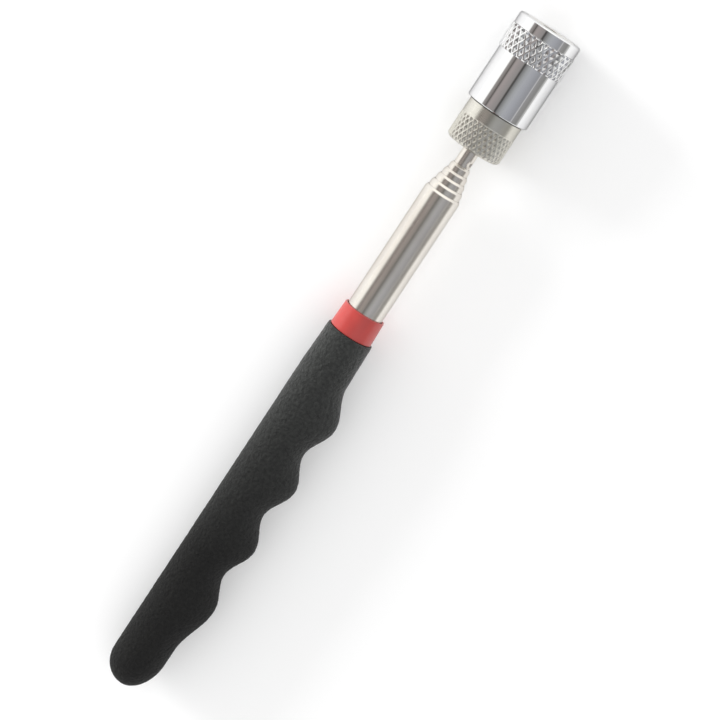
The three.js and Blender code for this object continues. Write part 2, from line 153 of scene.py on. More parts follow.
CAMERA_TILT = math.radians(11.5)  # from straight above, towards the magnet's end
CAMERA_ROLL = math.radians(33.5)  # the tool leans this far to the right of upright
CAMERA_DISTANCE = 0.6144
CAMERA_LENS = 122.15
TARGET_ALONG = 0.0057  # the place it looks at: along X, and towards -Y of the tool's axis
TARGET_ASIDE = 0.0056


def make_camera():
    """Looks down on the tool from a little beyond the collar."""
    target = Vector((TARGET_ALONG, AXIS_Y - TARGET_ASIDE, AXIS_Z))
    back = Vector((math.sin(CAMERA_TILT), 0, math.cos(CAMERA_TILT)))
    along = Vector((math.cos(CAMERA_TILT), 0, -math.sin(CAMERA_TILT)))
    across = Vector((0, -1, 0))
    right = math.cos(CAMERA_ROLL) * across + math.sin(CAMERA_ROLL) * along
    up = math.cos(CAMERA_ROLL) * along - math.sin(CAMERA_ROLL) * across
    camera = bpy.data.objects.new("camera", bpy.data.cameras.new("camera"))
    camera.data.lens = CAMERA_LENS
    camera.data.sensor_width = 36
    place = Matrix((right, up, back)).transposed().to_4x4()
    place.translation = target + back * CAMERA_DISTANCE
    camera.matrix_world = place
    bpy.context.scene.collection.objects.link(camera)
    bpy.context.scene.camera = camera


make_camera()

# ------------------------------------------------------------------ materials

MARK_RELIEF = 0.0006  # depth of the fine marks in plating, in millimetres
SHADE_FADE_START = -0.058  # along X in metres, where the foam's painted shade starts to fade and its skin to grow smoother, and where the shade is gone and the skin smoothest
SHADE_FADE_END = 0.009


def add_node(tree, kind, inputs=(), **settings):
    """A node with its settings and inputs; an input is a value or another node's output."""
    made = tree.nodes.new(kind)
    for name, value in settings.items():
        setattr(made, name, value)
    for socket, value in inputs:
        if isinstance(value, bpy.types.NodeSocket):
            tree.links.new(value, made.inputs[socket])
        else:
            made.inputs[socket].default_value = value
    return made


class Finish:
    """A Principled material, with short calls for the nodes that vary it."""

    def __init__(self, name, colour, roughness, metallic=0.0, **sockets):
        self.material = bpy.data.materials.new(name)
        self.material.use_nodes = True
        self.tree = self.material.node_tree
        self.shader = self.tree.nodes["Principled BSDF"]
        self.set("Base Color", (*colour, 1))
        self.set("Roughness", roughness)
        self.set("Metallic", metallic)
        for socket, value in sockets.items():
            self.set(socket.replace("_", " "), value)
        self.place = self.tree.nodes.new("ShaderNodeTexCoord").outputs["Object"]

    def set(self, socket, value):
        self.shader.inputs[socket].default_value = value

    def link(self, output, socket):
        self.tree.links.new(output, self.shader.inputs[socket])

    def node(self, kind, inputs=(), **settings):
        return add_node(self.tree, kind, inputs, **settings)

    def grain(self, size, detail=2.0, stretch=(1, 1, 1)):
        """Noise with features of this size in millimetres, stretched along the axes by these factors."""
        scale = Vector(1 / (size * MM * factor) for factor in stretch)
        mapping = self.node("ShaderNodeMapping", [("Vector", self.place), ("Scale", scale)])
        inputs = [("Vector", mapping.outputs[0]), ("Scale", 1.0), ("Detail", detail)]
        return self.node("ShaderNodeTexNoise", inputs).outputs[0]

    def between(self, factor, low, high, start=0.0, end=1.0):
        """Runs from start to end as the factor runs from low to high."""
        limits = [("From Min", low), ("From Max", high), ("To Min", start), ("To Max", end)]
        return self.node("ShaderNodeMapRange", [("Value", factor), *limits]).outputs[0]

    def math(self, operation, first, second=0.0):
        return self.node("ShaderNodeMath", [(0, first), (1, second)], operation=operation).outputs[0]

    def mixed(self, factor, first, second):
        """One colour fading into another; a colour is three numbers or another node's output."""
        colours = [(*colour, 1) if isinstance(colour, tuple) else colour for colour in (first, second)]
        inputs = [(0, factor), (6, colours[0]), (7, colours[1])]
        return self.node("ShaderNodeMix", inputs, data_type="RGBA").outputs[2]

    def bump(self, height, depth):
        """Surface relief of this depth in millimetres."""
        inputs = [("Height", height), ("Distance", depth * MM), ("Strength", 1.0)]
        self.link(self.node("ShaderNodeBump", inputs).outputs[0], "Normal")


def plated_metal(name, colour, shade, roughness, spread, marks, mark_size=0.05, rim=1.0):
    """Plating with a cloudy gloss and fine marks, which are stretched along the axes by the factors in marks.

    rim tints what the metal reflects where it is seen edge on.
    """
    finish = Finish(name, colour, roughness, metallic=1.0, Specular_Tint=(rim, rim, rim, 1))
    clouds = finish.grain(9, 3)
    lines = finish.grain(mark_size, 2, marks)
    finish.link(finish.mixed(finish.between(clouds, 0.35, 0.7), colour, shade), "Base Color")
    cloudy = finish.between(clouds, 0.3, 0.7, 0, 0.5)
    marked = finish.between(lines, 0.35, 0.7, 0, 0.5)
    wear = finish.math("ADD", cloudy, marked)
    finish.link(finish.between(wear, 0, 1, roughness, roughness + spread), "Roughness")
    finish.bump(lines, MARK_RELIEF)
    return finish.material


def foam():
    """Lumpy, wrinkled charcoal foam, smoother towards the collar, with painted shade in its hollows and
    towards its closed end.
    """
    finish = Finish("black foam", (0.02, 0.02, 0.02), 0.7, Specular_IOR_Level=0.4)
    lumps = finish.grain(0.9, 4)
    wrinkles = finish.math("ABSOLUTE", finish.math("SUBTRACT", finish.grain(1.5, 3), 0.5))
    along = finish.node("ShaderNodeSeparateXYZ", [(0, finish.place)]).outputs["X"]
    # Painted shade: this share runs from 0 towards the closed end to 1 at the collar. The colours below are
    # darker where it is low, and the skin is rougher there.
    near_open_end = finish.between(along, SHADE_FADE_START, SHADE_FADE_END)
    crests = finish.between(wrinkles, 0.0, 0.05)
    # Painted shade: the mottled colour is darker along the bumped creases and in the hollows between the
    # bumped lumps, so it follows the relief.
    crease_shade = finish.between(crests, 0, 1, 0.6, 1)
    hollow_shade = finish.between(lumps, 0.38, 0.62, 0.55, 1)
    tone = finish.math("MULTIPLY", crease_shade, hollow_shade)
    # Each colour runs from its darker painted-shade value at the closed end to its lighter value at the
    # collar.
    low = finish.mixed(near_open_end, (0.0035, 0.0035, 0.0035), (0.008, 0.009, 0.009))
    high = finish.mixed(near_open_end, (0.0095, 0.0095, 0.009), (0.036, 0.038, 0.036))
    finish.link(finish.mixed(tone, low, high), "Base Color")
    finish.link(finish.between(near_open_end, 0, 1, 0.8, 0.38), "Roughness")
    relief = finish.math("ADD", finish.math("MULTIPLY", crests, 0.3), finish.math("MULTIPLY", lumps, 3))
    finish.bump(relief, 0.22)
    return finish.material


def plastic(name, colour, shade, roughness, speckle=0.4, relief=0.004, spread=0.1, **sockets):
    """Moulded plastic with a slightly uneven colour and an eggshell surface."""
    finish = Finish(name, colour, roughness, **sockets)
    broad = finish.grain(3, 2)
    skin = finish.grain(speckle, 2)
    finish.link(finish.mixed(finish.between(broad, 0.3, 0.7), colour, shade), "Base Color")
    finish.link(finish.between(skin, 0.3, 0.7, roughness, roughness + spread), "Roughness")
    finish.bump(skin, relief)
    return finish.material


def clear_epoxy():
    """The lamp's water-clear lens, with faint flow marks."""
    finish = Finish("clear epoxy", (0.96, 0.98, 1.0), 0.03, Transmission_Weight=1.0, IOR=1.54)
    finish.bump(finish.grain(1.2, 1), 0.004)
    return finish.material


def circuit_board():
    """Green solder mask over glass weave, for the board that keeps its CAD solid."""
    finish = Finish("circuit board", (0.02, 0.17, 0.06), 0.38)
    weave = finish.grain(0.5, 1, (1, 4, 1))
    tone = finish.between(weave, 0.35, 0.65)
    finish.link(finish.mixed(tone, (0.015, 0.13, 0.045), (0.03, 0.21, 0.08)), "Base Color")
    finish.bump(weave, 0.01)
    return finish.material


ALONG = (40, 1, 1)  # marks that run along the tool
AROUND = (1, 30, 30)  # marks that run round it

MATERIALS = {
    "black_foam": foam(),
    "red_plastic": plastic("red plastic", (0.47, 0.041, 0.034), (0.43, 0.036, 0.030), 0.34, speckle=1.5,
                           relief=0.001, spread=0.03, Specular_IOR_Level=0.9),
    "black_plastic": plastic("black plastic", (0.02, 0.02, 0.02), (0.03, 0.03, 0.03), 0.5),
    "plated_tube": plated_metal("plated tube", (0.86, 0.82, 0.76), (0.80, 0.75, 0.69), 0.21, 0.07, ALONG,
                                rim=0.6),
    "satin_nickel": plated_metal("satin nickel", (0.79, 0.765, 0.70), (0.72, 0.70, 0.63), 0.24, 0.08, AROUND,
                                 rim=0.5),
    "head_chrome": plated_metal("bright chrome", (0.90, 0.90, 0.90), (0.86, 0.86, 0.87), 0.05, 0.03, AROUND,
                                rim=0.42),
    "spring_bronze": plated_metal("spring bronze", (0.62, 0.42, 0.2), (0.5, 0.33, 0.15), 0.3, 0.15, AROUND),
    "plain_steel": plated_metal("plain steel", (0.56, 0.55, 0.53), (0.47, 0.46, 0.45), 0.32, 0.14, AROUND),
    "spring_steel": plated_metal("spring steel", (0.64, 0.61, 0.54), (0.55, 0.52, 0.46), 0.25, 0.1, ALONG),
    "cell_steel": plated_metal("cell steel", (0.75, 0.74, 0.72), (0.68, 0.67, 0.65), 0.2, 0.12, AROUND),
    "magnet_nickel": plated_metal("magnet nickel", (0.72, 0.70, 0.66), (0.64, 0.62, 0.58), 0.16, 0.14,
                                  (1, 1, 1), mark_size=0.6),
    "tinned_wire": plated_metal("tinned wire", (0.7, 0.7, 0.69), (0.6, 0.6, 0.59), 0.25, 0.1, ALONG),
    "gold_contact": plated_metal("gold contact", (0.83, 0.62, 0.28), (0.75, 0.54, 0.22), 0.22, 0.1, AROUND),
    "seal_rubber": plastic("seal rubber", (0.018, 0.018, 0.018), (0.028, 0.028, 0.028), 0.6),
    "insulation": plastic("insulation", (0.78, 0.74, 0.64), (0.7, 0.66, 0.56), 0.5),
    "white_plastic": plastic("white plastic", (0.82, 0.82, 0.8), (0.76, 0.76, 0.74), 0.42),
    "clear_epoxy": clear_epoxy(),
    "circuit_board": circuit_board(),
}

SLOT_OF = {part["node"]: part["material_slot"] for part in frame["record"]["subparts"]}
BODY_OF = {node: body for body, nodes in frame["record"]["behaviour"]["bodies"].items() for node in nodes}

# ------------------------------------------------------------------ shapes


def rounded(outline, reach, closed=True, steps=3):
    """The outline with its corners rounded over by up to reach.

    A point either side of each rounding keeps the flats flat.
    """
    points = [Vector(point) for point in outline]
    result = []
    for index, corner in enumerate(points):
        if not closed and index in (0, len(points) - 1):
            result.append(corner)
            continue
        before = points[index - 1] - corner
        after = points[(index + 1) % len(points)] - corner
        room = min(reach, before.length * 0.4, after.length * 0.4)
        before.normalize()
        after.normalize()
        if before.dot(after) < -0.97:
            result.append(corner)
            continue
        first = corner + before * room
        last = corner + after * room
        result.append(corner + before * room * 1.2)
        for step in range(steps + 1):
            share = step / steps
            result.append(first * (1 - share) ** 2 + corner * 2 * share * (1 - share) + last * share ** 2)
        result.append(corner + after * room * 1.2)
    return [(point.x, point.y) for point in result]


def rows(first, last, count, radius):
    """Points at even stations on a straight stretch of an outline."""
    return [(first + (last - first) * index / count, radius) for index in range(count + 1)]


def make_object(name, vertices, faces, smooth_to=32):
    """A mesh object with merged poles and outward faces, smooth up to that angle between faces."""
    mesh = bpy.data.meshes.new(name)
    mesh.from_pydata(vertices, [], faces)
    work = bmesh.new()
    work.from_mesh(mesh)
    bmesh.ops.remove_doubles(work, verts=work.verts, dist=0.0005 * MM)
    bmesh.ops.recalc_face_normals(work, faces=work.faces)
    work.to_mesh(mesh)
    work.free()
    mesh.shade_smooth()
    mesh.set_sharp_from_angle(angle=math.radians(smooth_to))
    made = bpy.data.objects.new(name, mesh)
    bpy.context.scene.collection.objects.link(made)
    return made


def turned_faces(stations, turns, columns, closed, lattice):
    """The faces between the rows of a turned piece: quads, or pairs of triangles on a lattice."""
    faces = []
    last_row = len(stations) if closed else len(stations) - 1
    for row in range(last_row):
        low = row * turns
        high = (row + 1) % len(stations) * turns
        offset = round((stations[row] - lattice[0]) / lattice[1]) if lattice else 0
        for column in range(columns):
            following = (column + 1) % turns
            corners = (low + column, low + following, high + following, high + column)
            if not lattice:
                faces.append(corners)
            elif (offset + column) % 2:
                faces.extend(((corners[0], corners[1], corners[3]), (corners[1], corners[2], corners[3])))
            else:
                faces.extend(((corners[0], corners[1], corners[2]), (corners[0], corners[2], corners[3])))
    return faces


def turned(name, outline, columns=96, closed=True, relief=None, lattice=None, gap=0.0, aside=0.0,
           smooth_to=32):
    """Turns an outline about the tool's axis, or about a line beside it.

    closed     the outline closes on itself; otherwise it starts and ends on the axis
    relief     function of station, radius and angle that gives the true radius
    lattice    (first station, step): the faces are cut along the diagonals that a knurl's lines follow
    gap        angle left open, as in a split sleeve
    aside      distance of the turning axis from the tool's own, towards +Y
    """
    points = np.array(outline)
    turns = columns + 1 if gap else columns
    angles = gap / 2 + np.arange(turns) * (2 * math.pi - gap) / columns
    station = np.repeat(points[:, :1], turns, axis=1)
    radius = np.repeat(points[:, 1:], turns, axis=1)
    angle = np.repeat(angles[None, :], len(points), axis=0)
    if relief:
        radius = relief(station, radius, angle)
    y = AXIS_Y + (aside + radius * np.cos(angle)) * MM
    z = AXIS_Z + radius * np.sin(angle) * MM
    vertices = np.stack((station * MM, y, z), axis=-1).reshape(-1, 3).tolist()
    faces = turned_faces(points[:, 0], turns, columns, closed, lattice)
    if gap:
        faces.append([row * turns for row in range(len(points))])
        faces.append([row * turns + turns - 1 for row in range(len(points))])
    return make_object(name, vertices, faces, smooth_to)


def finish_piece(piece, node, slot=None, replaces=True):
    """Gives a piece its body, its place among the CAD nodes and its material."""
    slot = slot or SLOT_OF[node]
    piece.data.materials.append(MATERIALS[slot])
    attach(piece, BODY_OF[node])
    if replaces:
        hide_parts(node)
    return piece


def tent(value):
    """0 at whole numbers, 1 half-way between them."""
    return 1 - np.abs(2 * (value - np.floor(value)) - 1)


def knurl(first, last, crest, around, length, depth, chamfers):
    """A net of raised lines round pressed-in lozenges, which fade out at an end with no chamfer."""

    def relief(station, radius, angle):
        turn = around * angle / (2 * math.pi)
        climb = (station - first) / length
        pit = np.minimum(tent(turn + climb), tent(turn - climb))
        run_out = 1 if chamfers[1] else np.clip((last - station) / 0.5, 0, 1)
        surface = crest - depth * run_out * np.clip((pit - KNURL_LINE) / (1 - KNURL_LINE), 0, 1)
        first_cut = np.clip(chamfers[0] - (station - first), 0, None)
        last_cut = np.clip(chamfers[1] - (last - station), 0, None)
        ends = crest - first_cut - last_cut
        inside = (station >= first - 1e-6) & (station <= last + 1e-6) & (radius > crest - 0.05)
        return np.where(inside, np.minimum(surface, ends), radius)

    return relief


def thread(first, last, root, crest, plain, low, high):
    """A right-handed thread on the surfaces between the radii low and high.

    It runs out to the plain radius at both ends. An outside thread's is its root, and an inside one's its
    widest radius, so that the two don't cross there.
    """

    def relief(station, radius, angle):
        turn = (station - HEAD_START) / THREAD_PITCH - angle / (2 * math.pi)
        rise = np.clip(1.8 * tent(turn) - 0.4, 0, 1)
        cover = np.clip((station - first) / 0.4, 0, 1) * np.clip((last - station) / 0.4, 0, 1)
        inside = (station > first) & (station < last) & (radius > low) & (radius < high)
        return np.where(inside, plain + (root + (crest - root) * rise - plain) * cover, radius)

    return relief


def both(first_relief, second_relief):
    """Applies one relief after another."""
    return lambda station, radius, angle: second_relief(station, first_relief(station, radius, angle), angle)


# ------------------------------------------------------------------ foam grip


def dome_opening(station, length):
    """How far the rounded end has opened, from 0 at the tip to 1 where the dome ends."""
    left = max(0.0, 1 - station / length)
    return math.sqrt(1 - left * left)


def straight_reach(station, reach, dome):
    fade = min(max((station - RIDGES_END) / (GRIP_TOP - GRIP_END - RIDGES_END), 0), 1)
    return (reach + (GRIP_TOP_REACH - reach) * fade) * dome_opening(station, dome)


def finger_knots():
    """(station, reach) of each groove and ridge, which half waves join."""
    knots = [(RIDGES_START, GROOVE_REACH)]
    for index, reach in enumerate(RIDGE_REACHES):
        peak = FIRST_RIDGE + index * RIDGE_PITCH
        knots.append((peak, reach))
        if index < len(RIDGE_REACHES) - 1:
            knots.append((peak + RIDGE_PITCH / 2, GROOVE_REACH))
    knots.append((RIDGES_END, PALM_REACH))
    return knots


def finger_reach(station, knots):
    if station >= RIDGES_END:
        return straight_reach(station, PALM_REACH, PALM_DOME)
    if station <= RIDGES_START:
        return GROOVE_REACH * dome_opening(station, FINGER_DOME)
    index = next(i for i, knot in enumerate(knots) if knot[0] >= station)
    (start, low), (end, high) = knots[index - 1], knots[index]
    wave = (1 - math.cos(math.pi * (station - start) / (end - start))) / 2
    return low + (high - low) * wave


def grip_skin(length):
    """(station, inset) of each ring of points on the skin, from the tip to the open end's rounded edge."""
    dome = [FINGER_DOME * (1 - math.cos(math.pi * step / 48)) for step in range(1, 24)]
    body = [FINGER_DOME + (length - GRIP_EDGE - FINGER_DOME) * step / 430 for step in range(431)]
    turns = [math.pi / 8 * step for step in range(1, 5)]
    edge = [(length - GRIP_EDGE * (1 - math.sin(turn)), GRIP_EDGE * (1 - math.cos(turn))) for turn in turns]
    return [(station, 0.0) for station in dome + body] + edge


def skin_point(station, angle, side, flank, near_open_end):
    """A point of the skin, sunk by creases, lumps and waves, and shifted along the tool where the open end
    shows wear.
    """
    place = Vector((GRIP_END + station, side * math.cos(angle), flank * math.sin(angle)))
    outward = Vector((0, math.cos(angle), math.sin(angle)))
    crease = max(0, 1 - 4 * abs(noise.noise(place / 1.5)))
    lump = noise.noise(place / 0.7)
    wave = noise.noise(place / 7)
    place -= outward * (0.06 + 0.05 * crease + 0.06 * lump + 0.04 * wave)
    if near_open_end:
        place.x += 0.09 * noise.noise(place / 0.5) - 0.05
    return place.x * MM, AXIS_Y + place.y * MM, AXIS_Z + place.z * MM


def grip_bore():
    """(station, radius) down the bore, wider round the collar's sleeve and ending beyond the end plug."""
    sleeve_start = span("red_collar")[0] - 0.3
    plug_start = span("end_plug")[0] - 0.3
    return [(GRIP_TOP, COLLAR_POCKET), (sleeve_start, COLLAR_POCKET), (sleeve_start, GRIP_BORE),
            (plug_start, GRIP_BORE)]


def grip_faces(ring_count):
    """A fan at the tip, quads between the rings, and one face that closes the bore."""
    faces = [(0, 1 + column, 1 + (column + 1) % GRIP_COLUMNS) for column in range(GRIP_COLUMNS)]
    for ring in range(ring_count - 1):
        low = 1 + ring * GRIP_COLUMNS
        high = low + GRIP_COLUMNS
        for column in range(GRIP_COLUMNS):
            following = (column + 1) % GRIP_COLUMNS
            faces.append((low + column, low + following, high + following, high + column))
    faces.append([1 + (ring_count - 1) * GRIP_COLUMNS + column for column in range(GRIP_COLUMNS)])
    return faces


def foam_grip():
    """An egg-shaped sleeve with four finger ridges, its skin a little uneven and its open end showing soft
    wear.
    """
    length = GRIP_TOP - GRIP_END
    angles = [2 * math.pi * column / GRIP_COLUMNS for column in range(GRIP_COLUMNS)]
    knots = finger_knots()
    skin = grip_skin(length)
    bore = grip_bore()
    vertices = [(GRIP_END * MM, AXIS_Y, AXIS_Z)]
    for station, inset in skin:
        palm = straight_reach(station, PALM_REACH, PALM_DOME) - inset
        finger = finger_reach(station, knots) - inset
        flank = straight_reach(station, FLANK_REACH, FLANK_DOME) - inset
        for angle in angles:
            side = palm if math.cos(angle) > 0 else finger
            vertices.append(skin_point(station, angle, side, flank, station > length - WORN_LENGTH))
    for station, radius in bore:
        for angle in angles:
            y = AXIS_Y + radius * math.cos(angle) * MM
            z = AXIS_Z + radius * math.sin(angle) * MM
            vertices.append((station * MM, y, z))
    faces = grip_faces(len(skin) + len(bore))
    piece = finish_piece(make_object("grip", vertices, faces, 50), "foam_grip")


foam_grip()

# ------------------------------------------------------------------ red collar


def red_collar():
    """A tapered ferrule whose hidden sleeve runs down into the foam."""
    start, top, radius = span("red_collar")
    shoulder = GRIP_TOP + 0.06
    outline = rounded([
        (start, COLLAR_BORE), (start, COLLAR_SLEEVE), (shoulder, COLLAR_SLEEVE), (shoulder, radius),
        (top - 0.1, COLLAR_TIP), (top, COLLAR_TIP - 0.1), (top, COLLAR_BORE),
    ], 0.3)
    finish_piece(turned("collar", outline, 128), "red_collar")


red_collar()

# ------------------------------------------------------------------ telescoping tubes


def lip_outline(radius, lip):
    """The rolled lip: rounded over outside, closed in towards the next section."""
    opening = radius - RADIUS_STEP + LIP_CLEARANCE
    return rounded([
        (lip - 2.2, radius), (lip - 0.66, radius), (lip, radius - 0.4), (lip, opening), (lip - 1, opening),
        (lip - 1.3, radius - WALL),
    ], 0.16, False)


def foot_outlines(radius, start):
    """The drawn-in foot that carries a friction clip: its outside going up, its bore going down."""
    shoulder = start + NECK_LENGTH
    outside = [
        (start, radius - NECK_SINK - WALL), (start, radius - NECK_SINK), (shoulder, radius - NECK_SINK),
        (shoulder + 0.3, radius - NECK_SINK / 2), (shoulder + 0.6, radius), (shoulder + 0.8, radius),
    ]
    inside = [(shoulder + 0.9, radius - WALL), (shoulder + 0.2, radius - NECK_SINK - WALL)]
    return outside, inside


def tubes():
    """The outer tube and the four sections that slide in it."""
    lip = lip_outline(TUBE_RADIUS, TUBE_LIP)
    outline = [(TUBE_START, TUBE_RADIUS - WALL), (TUBE_START, TUBE_RADIUS), *lip]
    finish_piece(turned("tube_1", outline, 128), "outer_tube")
    for number in range(2, 6):
        node = f"tube_section_{number}"
        start, lip, radius = span(node)
        outside, inside = foot_outlines(radius, start)
        outline = [*outside, *lip_outline(radius, lip), *inside]
        finish_piece(turned(f"tube_{number}", outline, 112), node)


def crimp(station, radius, angle):
    """Two dents pressed into the rod, opposite each other."""
    for side in (CRIMP_ANGLE, CRIMP_ANGLE + 180):
        turn = np.angle(np.exp(1j * (angle - math.radians(side))))
        away = np.hypot(station - CRIMP_STATION, turn * radius) / CRIMP_REACH
        radius = radius - CRIMP_DEPTH * np.clip(1 - away * away, 0, None) ** 0.7
    return radius


def rod():
    start, end, radius = span("rod_tube")
    outside, inside = foot_outlines(radius, start)
    first, last = CRIMP_STATION - CRIMP_MARGIN, CRIMP_STATION + CRIMP_MARGIN
    outline = [
        *outside, *rows(first, last, 30, radius), (end - 0.1, radius), (end, radius - 0.1),
        (end, radius - WALL), *rows(last, first, 12, radius - WALL), *inside,
    ]
    finish_piece(turned("rod", outline, 120, relief=crimp), "rod_tube")


def friction_clips():
    """Split bronze sleeves, each sprung outwards by two raised bands."""
    for number in range(2, 7):
        node = f"friction_clip_{number}"
        start, end, _ = span(node)
        low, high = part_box(node)
        outer = (high.z - low.z) / 2 / MM - 0.01
        inner = outer - CLIP_INSET
        stations = [start + (end - start) * step / 24 for step in range(25)]
        rises = [CLIP_BULGE * math.sin(math.pi * step / 12) ** 2 for step in range(25)]
        bulge = list(zip(stations, rises))
        outline = [(station, outer - CLIP_BULGE + rise) for station, rise in bulge]
        outline += [(station, inner + rise) for station, rise in reversed(bulge)]
        finish_piece(turned(f"clip_{number}", outline, 72, gap=CLIP_GAP), node)


tubes()
rod()
friction_clips()

# ------------------------------------------------------------------ nut, stud, seal and spring


def tail_nut():
    """The knurled nut, with its plain band, the seal's groove and the threaded spigot."""
    first = NUT_START + 0.3
    knurl_end = NUT_START + NUT_KNURL_LENGTH + 0.3
    shoulder = HEAD_START - 0.16
    band = NUT_RADIUS - 0.05
    step = NUT_LOZENGE_LENGTH / KNURL_STEPS
    cavity_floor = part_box("neck_stud")[1].x / MM - 1.2
    rod_stop = span("rod_tube")[1] + 0.3
    lower = rounded([
        (NUT_START, NUT_BORE), (NUT_START, NUT_RADIUS - 0.75), (first - 0.02, NUT_RADIUS - 0.36),
    ], 0.12, False)
    knurled = rows(first, knurl_end, round(NUT_KNURL_LENGTH / step), NUT_RADIUS)
    upper = rounded([
        knurled[-1], (knurl_end + 0.1, band), (shoulder - 0.2, band), (shoulder, band - 0.2),
        (shoulder, SPIGOT_ROOT), (SEAL_MIDDLE - 0.7, SPIGOT_ROOT + 0.15), (SEAL_MIDDLE - 0.5, SEAL_FLOOR),
        (SEAL_MIDDLE + 0.5, SEAL_FLOOR), (SEAL_MIDDLE + 0.7, SPIGOT_ROOT),
    ], 0.06, False)[1:]
    threaded = rows(SEAL_MIDDLE + 0.8, SPIGOT_END - 0.3, 62, SPIGOT_ROOT)
    inner = rounded([
        threaded[-1], (SPIGOT_END, SPIGOT_ROOT - 0.2), (SPIGOT_END, NUT_CAVITY), (cavity_floor, NUT_CAVITY),
        (cavity_floor, STUD_HOLE), (rod_stop, STUD_HOLE), (rod_stop, NUT_BORE), (NUT_START, NUT_BORE),
    ], 0.06, False)[1:-1]
    relief = both(
        knurl(first, knurl_end, NUT_RADIUS, NUT_LOZENGES, NUT_LOZENGE_LENGTH, NUT_KNURL_DEPTH, (0.36, 0)),
        thread(SEAL_MIDDLE + 0.8, SPIGOT_END - 0.2, SPIGOT_ROOT, SPIGOT_CREST, SPIGOT_ROOT,
               SPIGOT_ROOT - 0.1, SPIGOT_CREST + 0.1),
    )
    outline = lower + knurled + upper + threaded + inner
    columns = NUT_LOZENGES * KNURL_STEPS
    piece = turned("nut", outline, columns, relief=relief, lattice=(first, step), smooth_to=28)
    finish_piece(piece, "tail_nut")


def neck_stud():
    start, end, head = span("neck_stud")
    shank = 1.65
    groove = shank - 0.4
    head_start = end - 0.9
    outline = rounded([
        (start, 0), (start, shank - 0.3), (start + 0.3, shank), (CRIMP_STATION - 0.9, shank),
        (CRIMP_STATION - 0.6, groove), (CRIMP_STATION + 0.6, groove), (CRIMP_STATION + 0.9, shank),
        (head_start, shank), (head_start, head), (end - 0.25, head), (end, head - 0.4), (end, 0),
    ], 0.1, False)
    finish_piece(turned("stud", outline, 64, closed=False), "neck_stud")


def seal_ring():
    wire = (SEAL_END - SEAL_START) / 2
    centre = SEAL_RADIUS - wire
    turns = [math.pi / 10 * step for step in range(20)]
    outline = [(SEAL_MIDDLE + wire * math.sin(turn), centre + wire * math.cos(turn)) for turn in turns]
    finish_piece(turned("seal", outline, 128, smooth_to=60), "seal_ring")


def contact_spring():
    """A conical coil of round wire whose first and last turns lie flat."""
    start, end, _ = span("contact_spring")
    wire = 0.25
    sides = 12
    steps = 260
    turns = 3.5
    narrow = 2.2
    wide = 5.2
    vertices = []
    for step in range(steps + 1):
        share = step / steps
        angle = 2 * math.pi * turns * share
        climb = min(max((share * turns - 0.6) / (turns - 1.2), 0), 1)
        centre = start + wire + (end - start - 2 * wire) * climb
        radius = wide + (narrow - wide) * share
        for side in range(sides):
            turn = 2 * math.pi * side / sides
            reach = radius + wire * math.cos(turn)
            vertices.append((
                (centre + wire * math.sin(turn)) * MM,
                AXIS_Y + reach * math.cos(angle) * MM,
                AXIS_Z + reach * math.sin(angle) * MM,
            ))
    faces = [list(range(sides)), list(range(steps * sides, (steps + 1) * sides))]
    for step in range(steps):
        for side in range(sides):
            low = step * sides
            high = low + sides
            following = (side + 1) % sides
            faces.append((low + side, low + following, high + following, high + side))
    finish_piece(make_object("spring", vertices, faces, 60), "contact_spring")


tail_nut()
neck_stud()
seal_ring()
contact_spring()

# ------------------------------------------------------------------ button cells and sleeve


def button_cells():
    """A crimped can round a smaller cap, with a gasket ring between the two."""
    for number in range(1, 4):
        node = f"button_cell_{number}"
        bottom, top, radius = span(node)
        can = rounded([
            (bottom + 0.32, 0), (bottom + 0.32, radius - 0.95), (bottom + 0.12, radius - 0.9),
            (bottom + 0.12, radius - 0.45), (bottom + 0.5, radius), (top - 0.3, radius), (top, radius - 0.3),
            (top, 0),
        ], 0.16, False)
        finish_piece(turned(f"cell_{number}_can", can, 96, closed=False), node)
        cap = rounded([
            (bottom, 0), (bottom, radius - 1.6), (bottom + 0.3, radius - 1.3), (bottom + 0.31, 0),
        ], 0.1, False)
        finish_piece(turned(f"cell_{number}_cap", cap, 96, closed=False), node, replaces=False)
        gasket = rounded([
            (bottom + 0.06, radius - 1.2), (bottom + 0.06, radius - 0.98), (bottom + 0.31, radius - 0.97),
            (bottom + 0.31, radius - 1.22),
        ], 0.05)
        finish_piece(turned(f"cell_{number}_gasket", gasket, 96), node, "white_plastic", replaces=False)


def battery_sleeve():
    start, end, outer = span("battery_sleeve")
    outline = rounded([(start, outer - 0.2), (start, outer), (end, outer), (end, outer - 0.2)], 0.06)
    finish_piece(turned("cell_sleeve", outline, 96), "battery_sleeve")


button_cells()
battery_sleeve()

# ------------------------------------------------------------------ head


